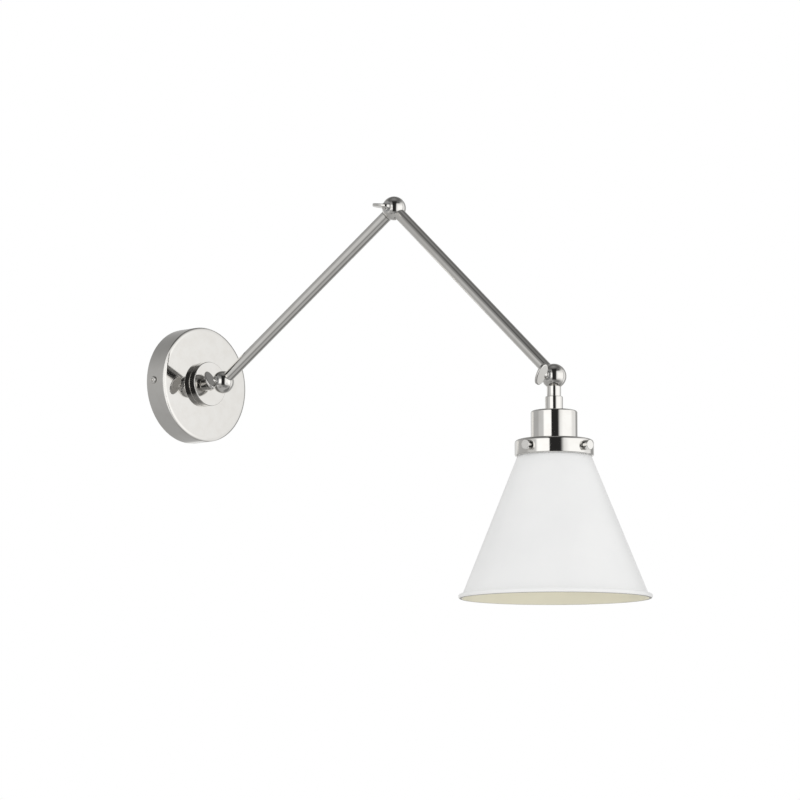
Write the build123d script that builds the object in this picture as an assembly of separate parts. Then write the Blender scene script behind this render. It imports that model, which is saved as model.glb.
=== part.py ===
from build123d import *
from math import atan2, cos, pi, radians, sin, sqrt, tan
import os

# Wall lamp with a round wall plate, two tube arms on ball knuckles and a conical shade.
# Millimetres. Origin: centre of the wall plate's open back, on the wall. +Z is up and
# the lamp reaches out along -Y. Every knuckle turns about a line parallel to X.

# Canopy, the drawn shell on the wall; its face rolls down to a crisp rim
canopy_od = 127.0
canopy_depth = 26.7
canopy_wall = 1.2
canopy_rim_r = 0.6
canopy_roll_width = 3.0
canopy_roll_drop = 2.5
canopy_roll_r = 8.0

# Crossbar behind the canopy, with its two slots for the wall box
bar_width = 16.0
bar_thickness = 2.0
bar_bend_r = 1.5
bar_hub_od = 40.0
lead_hole_d = 24.0
slot_spacing = 79.4
slot_width = 4.8
slot_length = 14.3
ear_margin = 4.0
ground_screw_d = 4.0
ground_head_af = 8.0
ground_head_h = 3.0

# Screws through the canopy's side into the crossbar's ears
side_screw_d = 4.0
side_screw_out = 11.0
side_head_d = 6.4
side_head_h = 2.2
side_recess_af = 2.5
side_recess_depth = 1.2
side_head_dome_r = 1.7
side_screw_length = 9.0

# Swivel base on the canopy's face, and what holds the stem in it
base_od = 49.0
base_height = 8.2
base_edge_r = 0.6
shank_od = 22.0
shank_length = 9.7
stop_lug_overlap = 0.7
stop_lug_wall = 1.7
stop_lug_angle = 22.0
lock_nut_af = 30.0
lock_nut_thickness = 4.0
stem_od = 14.2
stem_show = 6.8
stem_flat_depth = 1.1
stem_tail = 1.4
swivel_spring_thickness = 1.0
stop_washer_thickness = 1.6
stop_tab_setback = 0.2
stop_tab_width = 2.4
circlip_thickness = 1.2
circlip_depth = 0.7
circlip_stand = 1.6
circlip_mouth = 6.0

# Ball knuckles
ball_od = 25.0
split_gap = 1.0
friction_ring_thickness = 0.8
friction_ring_inset = 0.6
shell_side_wall = 3.2
shell_end_wall = 6.5
screw_boss_wall = 1.9
pinch_screw_d = 5.0
screw_tip_r = 0.4
tapped_end_wall = 3.0
spot_face_r = 5.5
spring_washer_od = 10.4
spring_washer_thickness = 1.0
spring_washer_slit = 0.8

# Wing screws: an oval blade, thicker at its root by the ball, on a round hub
wing_length = 22.0
wing_width = 12.4
wing_root_thickness = 4.4
wing_tip_thickness = 2.2
wing_edge_r = 0.9
wing_stand = 8.8
wing_hub_d = 7.2
wing_hub_edge_r = 0.8
wing_hub_flange_d = 8.6
wing_hub_flange_t = 1.0
wing_hub_flange_r = 0.4
base_wing_angle = 60.0
elbow_wing_angle = 10.0
head_wing_angle = 117.6

# Arms, from ball centre to ball centre; angles rise from the horizontal
arm_od = 12.2
arm_wall = 1.2
spigot_grip = 15.5
lead_bore_d = 6.6
lower_arm_length = 301.0
lower_arm_rise = 32.13
upper_arm_length = 292.7
upper_arm_rise = -42.85

# Leads inside the tubes
lead_d = 2.2
lead_tail = 6.0

# Head, as drops below the centre of the head ball
neck_od = 14.0
neck_show = 7.9
collar_od = 17.6
collar_length = 14.4
collar_edge_r = 0.8
cup_od = 46.2
cup_height = 29.1
cup_wall = 1.5
cup_edge_r = 2.0
ring_od = 78.2
ring_wall = 2.5
ring_height = 16.0
ring_edge_r = 3.0
ring_lip_r = 1.2
ring_lip_inner_r = 1.0
ring_plate_thickness = 1.6
ring_collar_height = 6.0
ring_collar_wall = 1.4
nipple_od = 9.9
nipple_wall = 1.35
nipple_grip = 6.0
cup_nut_af = 15.0
cup_nut_thickness = 3.0

# Thumb screws round the fitter ring
thumb_count = 4
thumb_head_d = 9.8
thumb_head_length = 6.0
thumb_head_edge_r = 0.5
thumb_screw_d = 4.0

# Shade
shade_wall = 0.8
shade_lip_gap = 0.6
shade_lip_height = 1.8
shade_lip_slope = 1.0
shade_waist_gap = 2.4
shade_shoulder_gap = 0.4
shade_shoulder_cover = 1.0
shade_height = 139.6
shade_mouth_r = 95.5
shade_bead_d = 4.6
shade_top_gap = 0.9
bead_offset = 1.0

# Lamp holder for a bulb with a 26 mm screw cap
holder_gap = 0.7
holder_wall = 3.2
holder_step = 1.5
holder_step_drop = 22.0
holder_edge_r = 1.5
holder_mouth_edge_r = 0.8
holder_floor = 7.0
holder_thread_depth = 7.0
cap_thread_r = 13.2
shell_wall = 0.5
shell_floor_r = 9.0
shell_length = 28.0
shell_recess = 2.0
contact_r = 4.5
contact_thickness = 1.4
contact_edge_r = 1.0
contact_well_depth = 1.2
contact_well_gap = 2.5
rivet_r = 2.5

# Clearances
running_fit = 0.05
close_fit = 0.1
loose_fit = 0.3
seat_gap = 0.1
cut_over = 1.0

# Worked-out places
canopy_r = canopy_od / 2
canopy_inner_r = canopy_r - canopy_wall
canopy_roll_slope = atan2(canopy_roll_drop, canopy_roll_width)
ball_r = ball_od / 2
half_split = split_gap / 2
relief_r = ball_r + loose_fit
spot_face_out = sqrt(ball_r**2 - spot_face_r**2)
arm_r = arm_od / 2
arm_bore_r = arm_r - arm_wall
cavity_r = ball_r - shell_side_wall
cavity_depth = ball_r - shell_end_wall
screw_boss_r = pinch_screw_d / 2 + screw_boss_wall
tapped_depth = ball_r - tapped_end_wall
wing_reach = spot_face_out + wing_stand
spigot_length = ball_r + spigot_grip
base_ball_out = canopy_depth + base_height + stem_show + ball_r
slot_start = (slot_spacing - slot_length) / 2
ground_screw_x = (bar_hub_od / 2 + slot_start) / 2
shank_r = shank_od / 2
lug_inner_r = shank_r - stop_lug_wall
swivel_washer_r = lug_inner_r - loose_fit
stem_flat_width = stem_od - 2 * stem_flat_depth
shank_back = canopy_depth - shank_length
spring_front = shank_back - seat_gap
spring_back = spring_front - swivel_spring_thickness
stop_back = spring_back - stop_washer_thickness
circlip_back = stop_back - circlip_thickness
stem_back = circlip_back - stem_tail
neck_drop = ball_r + neck_show
cup_top_drop = neck_drop + collar_length
ring_top_drop = cup_top_drop + cup_height
ring_bottom_drop = ring_top_drop + ring_height
thumb_drop = ring_top_drop + ring_height / 2
ring_inner_r = ring_od / 2 - ring_wall
shade_lip_r = ring_inner_r - shade_lip_gap
shade_waist_r = ring_inner_r - shade_waist_gap
shade_shoulder_r = ring_inner_r - shade_shoulder_gap
shade_shoulder_drop = ring_bottom_drop - shade_shoulder_cover
shade_bead_drop = shade_shoulder_drop + shade_height
cup_floor_drop = cup_top_drop + cup_wall
holder_top_drop = cup_floor_drop + cup_nut_thickness + holder_gap
nipple_end_drop = holder_top_drop + holder_thread_depth
nipple_start_drop = neck_drop - nipple_grip
shell_floor_drop = nipple_end_drop + holder_floor
shell_mouth_drop = shell_floor_drop + shell_length
well_floor_drop = shell_floor_drop - contact_well_depth
holder_mouth_drop = shell_mouth_drop + shell_recess
holder_bore_r = cap_thread_r + shell_wall + close_fit
holder_skirt_r = holder_bore_r + holder_wall
holder_r = holder_skirt_r + holder_step
nipple_bore_r = nipple_od / 2 - nipple_wall


def arm_end(start, length, rise):
    """Centre of the ball at the far end of an arm."""
    run = length * cos(radians(rise))
    lift = length * sin(radians(rise))
    return start + Vector(0, -run, lift)


base_ball = Vector(0, -base_ball_out, 0)
elbow_ball = arm_end(base_ball, lower_arm_length, lower_arm_rise)
head_ball = arm_end(elbow_ball, upper_arm_length, upper_arm_rise)


def aim(centre, rise):
    """Place a shape whose local +Z should point outwards, raised by an angle."""
    return Pos(centre.X, centre.Y, centre.Z) * Rot(90 - rise, 0, 0)


to_wall = 180
downwards = -90
wall = aim(Vector(0, 0, 0), 0)
head = aim(head_ball, downwards)


def across(side):
    """Turn a shape's local +Z to +X (side 1) or to -X (side -1)."""
    return Rot(0, 90 * side, 0)


def rod(radius, start, end):
    lower = (Align.CENTER, Align.CENTER, Align.MIN)
    return Pos(0, 0, start) * Cylinder(radius, end - start, align=lower)


def washer(outer_r, inner_r, start, end):
    """A flat ring about Z; its hole is cut past both faces."""
    return rod(outer_r, start, end) - rod(inner_r, start - cut_over, end + cut_over)


def slab(width, depth, start, end):
    lower = (Align.CENTER, Align.CENTER, Align.MIN)
    return Pos(0, 0, start) * Box(width, depth, end - start, align=lower)


def outline(*corners):
    """A closed profile from (radius, height) or (radius, height, fillet) corners."""
    points = [corner[:2] for corner in corners]
    fillets = [corner[2] if len(corner) > 2 else 0 for corner in corners]
    return make_face(FilletPolyline(*points, radius=fillets, close=True))


def turned(profile):
    return revolve(Plane.XZ * profile, Axis.Z)


def hex_bar(across_flats, start, end):
    face = RegularPolygon(across_flats / 2, 6, major_radius=False)
    return Pos(0, 0, start) * extrude(face, end - start)


def hex_nut(across_flats, hole_r, start, end):
    return hex_bar(across_flats, start, end) - rod(hole_r, start - cut_over, end + cut_over)


# Wall plate. The local +Z of these shapes is the distance from the wall.

def canopy():
    front = canopy_depth - canopy_wall
    hole_r = shank_r + close_fit
    rim = canopy_depth - canopy_roll_drop
    roll_r = canopy_r - canopy_roll_width
    inner_rim = rim - canopy_wall * tan((pi / 2 - canopy_roll_slope) / 2)
    inner_roll_r = roll_r - canopy_wall * tan(canopy_roll_slope / 2)
    shell = turned(outline(
        (canopy_r, 0),
        (canopy_r, rim, canopy_rim_r),
        (roll_r, canopy_depth, canopy_roll_r),
        (hole_r, canopy_depth),
        (hole_r, front),
        (inner_roll_r, front, canopy_roll_r - canopy_wall),
        (canopy_inner_r, inner_rim),
        (canopy_inner_r, 0),
    ))
    screw_holes = across(1) * rod(side_screw_d / 2 + close_fit, -canopy_od, canopy_od)
    return wall * (shell - Pos(0, 0, side_screw_out) * screw_holes)


def ear_face():
    """Outer face of an ear: its corners just clear the canopy's curved inner wall."""
    return sqrt((canopy_inner_r - loose_fit) ** 2 - (bar_width / 2) ** 2)


def crossbar():
    half = ear_face()
    tip = side_screw_out + side_screw_d / 2 + ear_margin
    inner = half - bar_thickness
    outer_bend = bar_bend_r + bar_thickness
    strip = outline(
        (-half, 0, outer_bend),
        (half, 0, outer_bend),
        (half, tip),
        (inner, tip),
        (inner, bar_thickness, bar_bend_r),
        (-inner, bar_thickness, bar_bend_r),
        (-inner, tip),
        (-half, tip),
    )
    bar = extrude(Plane.XZ * strip, bar_width / 2, both=True)
    bar += rod(bar_hub_od / 2, 0, bar_thickness)
    bar -= rod(lead_hole_d / 2, -cut_over, bar_thickness + cut_over)
    for side in (-1, 1):
        slot = extrude(SlotOverall(slot_length, slot_width), bar_thickness + 2 * cut_over)
        bar -= Pos(side * slot_spacing / 2, 0, -cut_over) * slot
    tapped = across(1) * rod(side_screw_d / 2 + running_fit, -canopy_od, canopy_od)
    bar -= Pos(0, 0, side_screw_out) * tapped
    ground_r = ground_screw_d / 2 + running_fit
    ground_hole = rod(ground_r, -cut_over, bar_thickness + cut_over)
    return wall * (bar - Pos(ground_screw_x, 0, 0) * ground_hole)


def ground_screw():
    head_top = bar_thickness + ground_head_h
    shank = rod(ground_screw_d / 2, close_fit, head_top)
    screw = hex_bar(ground_head_af, bar_thickness, head_top) + shank
    return wall * Pos(ground_screw_x, 0, 0) * screw


def canopy_screw(side):
    dome_r = side_head_d / 2
    thread_r = side_screw_d / 2
    top = canopy_r + side_head_h
    screw = turned(outline(
        (0, canopy_r - side_screw_length),
        (thread_r, canopy_r - side_screw_length, screw_tip_r),
        (thread_r, canopy_r + seat_gap),
        (dome_r, canopy_r + seat_gap),
        (dome_r, top, side_head_dome_r),
        (0, top),
    ))
    screw -= hex_bar(side_recess_af, top - side_recess_depth, top + cut_over)
    return wall * Pos(0, 0, side_screw_out) * across(side) * screw


# Swivel: the base is clamped to the canopy and the stem turns in it.

def swivel_base():
    journal_r = stem_od / 2 + running_fit
    front = canopy_depth + base_height
    body = turned(outline(
        (journal_r, shank_back),
        (shank_r, shank_back),
        (shank_r, canopy_depth),
        (base_od / 2, canopy_depth),
        (base_od / 2, front, base_edge_r),
        (journal_r, front),
    ))
    lug = washer(shank_r, lug_inner_r, stop_back - stop_lug_overlap, shank_back)
    lug_width = shank_od * sin(radians(stop_lug_angle / 2))
    lug &= Pos(0, -shank_r, 0) * slab(lug_width, shank_od, 0, shank_back)
    return wall * (body + lug)


def swivel_lock_nut():
    front = canopy_depth - canopy_wall
    hole_r = shank_r + running_fit
    return wall * hex_nut(lock_nut_af, hole_r, front - lock_nut_thickness, front)


def swivel_stem():
    length = base_ball_out - stem_back
    stem = half_ball(1, base_ball, to_wall, stem_od / 2, length)
    tail = rod(stem_od, stem_back - cut_over, spring_back)
    flats = tail - slab(stem_od, stem_flat_width, stem_back - cut_over, spring_back)
    groove_r = stem_flat_width / 2 - circlip_depth
    groove = washer(stem_od, groove_r, circlip_back, stop_back)
    return stem - wall * flats - wall * groove


def swivel_spring_washer():
    hole_r = stem_od / 2 + close_fit
    return wall * washer(swivel_washer_r, hole_r, spring_back, spring_front)


def swivel_stop_washer():
    disc = rod(swivel_washer_r, stop_back, spring_back)
    tab_end = shank_r - stop_tab_setback
    tab = Pos(0, tab_end / 2, 0) * slab(stop_tab_width, tab_end, stop_back, spring_back)
    hole_r = stem_od / 2 + close_fit
    flat_width = stem_flat_width + 2 * close_fit
    hole = rod(hole_r, 0, canopy_depth) & slab(2 * stem_od, flat_width, 0, canopy_depth)
    return wall * (disc + tab - hole)


def swivel_circlip():
    inner_r = stem_flat_width / 2 - circlip_depth + running_fit
    ring = washer(stem_od / 2 + circlip_stand, inner_r, circlip_back, stop_back)
    mouth = Pos(stem_od, 0, 0) * slab(2 * stem_od, circlip_mouth, 0, canopy_depth)
    return wall * (ring - mouth)


# Ball knuckles. A knuckle is two half balls, split in the plane of the arms and pinched
# by a screw along X. The -X half has the clearance hole and the spot face, the +X half
# is tapped. Each half carries its own neck, which stands in the middle of the ball and is
# relieved by a sphere where it reaches over the other half.

def half_ball(side, centre, rise, neck_r, neck_length):
    edge_r = sqrt(ball_r**2 - half_split**2)
    if side > 0:
        top_r, top_out = 0, ball_r
        hole = rod(pinch_screw_d / 2 + running_fit, 0, tapped_depth)
    else:
        top_r, top_out = spot_face_r, spot_face_out
        hole = rod(pinch_screw_d / 2 + loose_fit, 0, ball_r)
    middle = (Vector(edge_r, half_split) + Vector(top_r, top_out)).normalized() * ball_r
    dome = Line((0, half_split), (edge_r, half_split))
    dome += ThreePointArc((edge_r, half_split), (middle.X, middle.Y), (top_r, top_out))
    if top_r > 0:
        dome += Line((top_r, top_out), (0, top_out))
    dome += Line((0, top_out), (0, half_split))
    shell = across(side) * turned(make_face(dome))

    neck = rod(neck_r, 0, neck_length)
    other_half = Pos(side * (half_split - ball_od), 0, 0) * Box(2 * ball_od, 2 * ball_od, 2 * ball_od)
    neck -= Sphere(relief_r) & other_half

    cavity = washer(cavity_r, screw_boss_r, 0, cavity_depth)
    bore = rod(lead_bore_d / 2, screw_boss_r + cut_over, neck_length + cut_over)
    body = shell + neck - across(side) * cavity - across(side) * hole - bore
    return aim(centre, rise) * body


def arm_knuckle(side, centre, rise):
    """A half ball with the spigot that fits an arm tube."""
    return half_ball(side, centre, rise, arm_bore_r - running_fit, spigot_length)


def friction_ring(centre):
    ring = washer(ball_r - friction_ring_inset, cavity_r + loose_fit,
                  half_split - friction_ring_thickness, half_split)
    return Pos(centre.X, centre.Y, centre.Z) * across(1) * ring


def spring_washer(centre):
    inner_r = pinch_screw_d / 2 + loose_fit
    ring = washer(spring_washer_od / 2, inner_r, spot_face_out,
                  spot_face_out + spring_washer_thickness)
    slit = Pos(spring_washer_od, 0, 0) * slab(
        2 * spring_washer_od, spring_washer_slit, 0, ball_od)
    return Pos(centre.X, centre.Y, centre.Z) * across(-1) * (ring - slit)


def wing_screw(centre, angle):
    """The blade's long axis stands at an angle from +Y towards +Z."""
    seat = spot_face_out + spring_washer_thickness + seat_gap
    hub_end = wing_reach - wing_width / 4
    screw = turned(outline(
        (0, half_split - tapped_depth),
        (pinch_screw_d / 2, half_split - tapped_depth, screw_tip_r),
        (pinch_screw_d / 2, seat),
        (wing_hub_flange_d / 2, seat),
        (wing_hub_flange_d / 2, seat + wing_hub_flange_t, wing_hub_flange_r),
        (wing_hub_d / 2, seat + wing_hub_flange_t),
        (wing_hub_d / 2, hub_end, wing_hub_edge_r),
        (0, hub_end),
    ))
    oval = Plane.XZ * Ellipse(wing_length / 2, wing_width / 2)
    taper = Plane.YZ * Polygon(
        (-wing_root_thickness / 2, -wing_width / 2),
        (wing_root_thickness / 2, -wing_width / 2),
        (wing_tip_thickness / 2, wing_width / 2),
        (-wing_tip_thickness / 2, wing_width / 2),
        align=None,
    )
    blade = extrude(oval, wing_root_thickness, both=True) & extrude(taper, wing_length, both=True)
    rims = blade.edges().filter_by(GeomType.LINE, reverse=True)
    blade = fillet(rims, wing_edge_r)
    screw += Pos(0, 0, wing_reach) * blade
    place = Pos(centre.X, centre.Y, centre.Z) * across(-1) * Rot(0, 0, 90 - angle)
    return place * screw


# Arms

def arm_tube(centre, length, rise):
    tube = washer(arm_r, arm_bore_r, 0, length)
    for end in (0, length):
        tube -= Pos(0, 0, end) * Sphere(relief_r)
    return aim(centre, rise) * tube


def lead_pair(place, start, end):
    offset = lead_bore_d / 2 - lead_d / 2 - close_fit
    lead = rod(lead_d / 2, start, end)
    return place * (Pos(-offset, 0, 0) * lead + Pos(offset, 0, 0) * lead)


# Head. The local +Z of these shapes is the drop below the head ball's centre.

def head_knuckle():
    knuckle = half_ball(-1, head_ball, downwards, neck_od / 2, neck_drop)
    socket = rod(nipple_od / 2 + running_fit, nipple_start_drop, neck_drop + cut_over)
    return knuckle - head * socket


def neck_collar():
    bore_r = nipple_od / 2 + running_fit
    return head * turned(outline(
        (bore_r, neck_drop),
        (collar_od / 2, neck_drop, collar_edge_r),
        (collar_od / 2, cup_top_drop),
        (bore_r, cup_top_drop),
    ))


def head_nipple():
    return head * washer(nipple_od / 2, nipple_bore_r, nipple_start_drop, nipple_end_drop)


def socket_cup():
    hole_r = nipple_od / 2 + close_fit
    inner_r = cup_od / 2 - cup_wall
    return head * turned(outline(
        (hole_r, cup_top_drop),
        (cup_od / 2, cup_top_drop, cup_edge_r),
        (cup_od / 2, ring_top_drop),
        (inner_r, ring_top_drop),
        (inner_r, cup_floor_drop, cup_edge_r / 2),
        (hole_r, cup_floor_drop),
    ))


def cup_nut():
    hole_r = nipple_od / 2 + running_fit
    end = cup_floor_drop + cup_nut_thickness
    return head * hex_nut(cup_nut_af, hole_r, cup_floor_drop, end)


def fitter_ring():
    outer_r = ring_od / 2
    collar_outer_r = cup_od / 2 - cup_wall - close_fit
    collar_inner_r = collar_outer_r - ring_collar_wall
    plate_bottom = ring_top_drop + ring_plate_thickness
    ring = turned(outline(
        (collar_inner_r, ring_top_drop - ring_collar_height),
        (collar_outer_r, ring_top_drop - ring_collar_height),
        (collar_outer_r, ring_top_drop),
        (outer_r, ring_top_drop, ring_edge_r),
        (outer_r, ring_bottom_drop, ring_lip_r),
        (ring_inner_r, ring_bottom_drop, ring_lip_inner_r),
        (ring_inner_r, plate_bottom, ring_edge_r / 2),
        (collar_inner_r, plate_bottom),
    ))
    tapped = across(1) * rod(thumb_screw_d / 2 + running_fit, 0, ring_od)
    for number in range(thumb_count):
        ring -= Pos(0, 0, thumb_drop) * Rot(0, 0, 360 * number / thumb_count) * tapped
    return head * ring


def thumb_screw(angle):
    """A screw along a radius of the ring; angle 0 is +X, 90 is -Y."""
    tip = shade_waist_r + loose_fit
    seat = ring_od / 2 + loose_fit
    head_end = seat + thumb_head_length
    screw = turned(outline(
        (0, tip),
        (thumb_screw_d / 2, tip, screw_tip_r),
        (thumb_screw_d / 2, seat),
        (thumb_head_d / 2, seat, thumb_head_edge_r),
        (thumb_head_d / 2, head_end, thumb_head_edge_r),
        (0, head_end),
    ))
    return head * Pos(0, 0, thumb_drop) * Rot(0, 0, angle) * across(1) * screw


def shade():
    """Spun cone with a lipped neck for the thumb screws and a rolled bead at the mouth."""
    neck_top = ring_top_drop + ring_plate_thickness + shade_top_gap
    lip_end = neck_top + shade_lip_height
    waist_start = lip_end + shade_lip_slope
    waist_end = shade_shoulder_drop - (shade_shoulder_r - shade_waist_r)
    bead_centre_r = shade_mouth_r - shade_bead_d / 2
    mouth_r = bead_centre_r - bead_offset
    sheet = outline(
        (shade_lip_r - shade_wall, neck_top),
        (shade_lip_r, neck_top),
        (shade_lip_r, lip_end),
        (shade_waist_r, waist_start),
        (shade_waist_r, waist_end),
        (shade_shoulder_r, shade_shoulder_drop),
        (mouth_r, shade_bead_drop),
        (mouth_r - shade_wall, shade_bead_drop),
        (shade_shoulder_r - shade_wall, shade_shoulder_drop + shade_wall / 2),
        (shade_waist_r - shade_wall, waist_end + shade_wall / 2),
        (shade_waist_r - shade_wall, waist_start - shade_wall / 2),
        (shade_lip_r - shade_wall, lip_end - shade_wall / 2),
    )
    bead = Pos(bead_centre_r, shade_bead_drop) * Circle(shade_bead_d / 2)
    return head * turned(sheet + bead)


# Lamp holder

def holder_body():
    step = holder_top_drop + holder_step_drop
    thread_r = nipple_od / 2 + running_fit
    return head * turned(outline(
        (thread_r, holder_top_drop),
        (holder_r, holder_top_drop, holder_edge_r),
        (holder_r, step, holder_edge_r),
        (holder_skirt_r, step),
        (holder_skirt_r, holder_mouth_drop, holder_mouth_edge_r),
        (holder_bore_r, holder_mouth_drop, holder_mouth_edge_r),
        (holder_bore_r, shell_floor_drop),
        (contact_r + contact_well_gap, shell_floor_drop),
        (contact_r + contact_well_gap, well_floor_drop),
        (rivet_r + running_fit, well_floor_drop),
        (rivet_r + running_fit, nipple_end_drop),
        (thread_r, nipple_end_drop),
    ))


def screw_shell():
    outer_r = cap_thread_r + shell_wall
    floor_end = shell_floor_drop + shell_wall
    return head * turned(outline(
        (shell_floor_r, shell_floor_drop),
        (outer_r, shell_floor_drop, shell_wall),
        (outer_r, shell_mouth_drop),
        (cap_thread_r, shell_mouth_drop),
        (cap_thread_r, floor_end),
        (shell_floor_r, floor_end),
    ))


def centre_contact():
    rivet = rod(rivet_r, nipple_end_drop + seat_gap, well_floor_drop)
    dome = turned(outline(
        (0, well_floor_drop),
        (contact_r, well_floor_drop),
        (contact_r, well_floor_drop + contact_thickness, contact_edge_r),
        (0, well_floor_drop + contact_thickness),
    ))
    return head * (rivet + dome)


past_ball = relief_r + close_fit
nodes = {
    "crossbar": crossbar(),
    "ground_screw": ground_screw(),
    "canopy": canopy(),
    "canopy_side_screws": canopy_screw(-1) + canopy_screw(1),
    "swivel_base": swivel_base(),
    "swivel_lock_nut": swivel_lock_nut(),
    "swivel_stem": swivel_stem(),
    "swivel_spring_washer": swivel_spring_washer(),
    "swivel_stop_washer": swivel_stop_washer(),
    "swivel_circlip": swivel_circlip(),
    "stem_leads": lead_pair(aim(base_ball, to_wall), past_ball,
                            base_ball_out - stem_back + lead_tail),
    "lower_arm_tube": arm_tube(base_ball, lower_arm_length, lower_arm_rise),
    "lower_arm_base_knuckle": arm_knuckle(-1, base_ball, lower_arm_rise),
    "lower_arm_elbow_knuckle": arm_knuckle(-1, elbow_ball, lower_arm_rise + 180),
    "lower_arm_leads": lead_pair(aim(base_ball, lower_arm_rise), past_ball,
                                 lower_arm_length - past_ball),
    "upper_arm_tube": arm_tube(elbow_ball, upper_arm_length, upper_arm_rise),
    "upper_arm_elbow_knuckle": arm_knuckle(1, elbow_ball, upper_arm_rise),
    "upper_arm_head_knuckle": arm_knuckle(1, head_ball, upper_arm_rise + 180),
    "upper_arm_leads": lead_pair(aim(elbow_ball, upper_arm_rise), past_ball,
                                 upper_arm_length - past_ball),
    "head_knuckle": head_knuckle(),
    "neck_collar": neck_collar(),
    "head_nipple": head_nipple(),
    "head_leads": lead_pair(head, past_ball, nipple_end_drop),
    "socket_cup": socket_cup(),
    "cup_nut": cup_nut(),
    "fitter_ring": fitter_ring(),
    "shade": shade(),
    "lamp_holder_body": holder_body(),
    "lamp_holder_screw_shell": screw_shell(),
    "lamp_holder_contact": centre_contact(),
}

joints = {
    "base": (base_ball, base_wing_angle),
    "elbow": (elbow_ball, elbow_wing_angle),
    "head": (head_ball, head_wing_angle),
}
for name, (centre, wing_angle) in joints.items():
    nodes[name + "_friction_ring"] = friction_ring(centre)
    nodes[name + "_spring_washer"] = spring_washer(centre)
    nodes[name + "_wing_screw"] = wing_screw(centre, wing_angle)

for number, place in enumerate(("right", "front", "left", "back")):
    nodes["shade_screw_" + place] = thumb_screw(360 * number / thumb_count)

os.makedirs("parts", exist_ok=True)
for name, shape in nodes.items():
    export_step(shape, os.path.join("parts", name + ".step"))
print(len(nodes), "nodes; head ball at", head_ball, "elbow at", elbow_ball)
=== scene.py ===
from math import acos, asin, atan2, cos, degrees, pi, radians, sin, sqrt, tan

import bmesh
import bpy
from mathutils import Matrix, Vector


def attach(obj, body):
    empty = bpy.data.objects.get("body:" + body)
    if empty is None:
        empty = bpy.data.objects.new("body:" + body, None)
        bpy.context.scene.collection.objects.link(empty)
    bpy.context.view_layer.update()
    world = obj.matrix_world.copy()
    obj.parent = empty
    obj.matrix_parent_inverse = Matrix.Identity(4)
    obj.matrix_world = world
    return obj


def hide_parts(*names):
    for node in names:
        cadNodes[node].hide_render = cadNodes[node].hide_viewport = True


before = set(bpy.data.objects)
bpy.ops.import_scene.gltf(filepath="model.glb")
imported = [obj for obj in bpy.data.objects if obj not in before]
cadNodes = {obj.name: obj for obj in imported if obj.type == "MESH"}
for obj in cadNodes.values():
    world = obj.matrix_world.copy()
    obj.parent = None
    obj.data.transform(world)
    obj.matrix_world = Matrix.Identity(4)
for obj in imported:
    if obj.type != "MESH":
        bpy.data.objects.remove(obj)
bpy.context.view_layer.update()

mm = 0.001
weldGap = 0.0005  # millimetres
sharpAngle = 32   # degrees: a sharper edge than this stays crisp

camera = {
    "place": (-2.232246, -2.340715, -0.454),
    "yaw": 47.813,
    "pitch": 7.752,
    "focal": 2925.529,  # in pixels of the frame
    "frame": 800,
    "sensor": 36.0,
    "farClip": 200,
}

studio = {
    "centre": (0.0, -0.29, 0.0),
    "floorHeight": -1.15,
    "floorReach": 9.0,    # from the middle to each side
    "floorColour": (0.82, 0.815, 0.80),
    "floorRough": 0.9,
    "floorLift": 0.17,    # brings the floor near the white behind it, and leaves its shadow
    "ambient": 0.86,
    "backdrop": (1.0, 1.0, 1.0),
}

lamps = {
    "softKey": {"place": (-2.7, -2.0, 1.9), "size": 2.4, "power": 16},
    "softFill": {"place": (1.8, -2.6, 0.6), "size": 2.0, "power": 5},
    "lowFill": {"place": (-0.35, -0.9, -1.05), "size": 1.1, "power": 2.3},
}

# The room that polished metal mirrors: greys by elevation, and patches laid over them in this order.
# Azimuths are degrees to the camera's right of where the camera stands, elevations degrees up.
# A patch fades out beyond its limits, over the degrees of fade on its two sides and of soft below and above.
room = {
    "radius": 3.6,
    "columns": 240,
    "rows": 90,
    "warmth": (1.0, 0.996, 0.984),
    "greys": [(-90, 0.46), (-70, 0.44), (-45, 0.38), (-25, 0.42), (8, 0.47), (20, 0.45), (34, 0.36),
              (48, 0.25), (60, 0.12), (74, 0.18), (82, 0.25), (90, 0.27)],
    "patches": {
        "wallBehind": {"across": (170, 192), "fade": (28, 50), "up": (-4, 8), "soft": 15, "tone": 0.94},
        "rightGlow": {"across": (20, 112), "fade": (30, 46), "up": (-20, 30), "soft": 20, "tone": 0.92},
        "rightWindow": {"across": (44, 80), "fade": (20, 20), "up": (-10, 14), "soft": 20, "tone": 1.2},
        "leftWindow": {"across": (-50, -15), "fade": (30, 3), "up": (-8, 14), "soft": 20, "tone": 1.25},
        "leftGlow": {"across": (-78, -58), "fade": (12, 10), "up": (-30, 4), "soft": 16, "tone": 0.64},
        "rightCorner": {"across": (128, 144), "fade": (8, 10), "up": (-24, 32), "soft": 12, "tone": 0.36},
        "lowRail": {"across": (-60, -30), "fade": (6, 10), "up": (-60, -53), "soft": 4, "tone": 0.24},
        "clothOverCamera": {"across": (5, 62), "fade": (20, 16), "up": (44, 50), "soft": 9, "tone": 0.12},
        "clothUnderCamera": {"across": (5, 60), "fade": (20, 25), "up": (-58, -42), "soft": 10, "tone": 0.22},
        "clothOnFloor": {"across": (115, 165), "fade": (25, 25), "up": (-68, -50), "soft": 15, "tone": 0.2},
        "clothBehind": {"across": (172, 188), "fade": (10, 10), "up": (3, 13), "soft": 8, "tone": 0.2},
        "stripRoundCamera": {"across": (-12.5, 15.5), "fade": (3, 12), "up": (-32, 56), "soft": 14,
                             "tone": 0.025, "upright": True},
    },
}


def link(item):
    bpy.context.scene.collection.objects.link(item)
    return item


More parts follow.
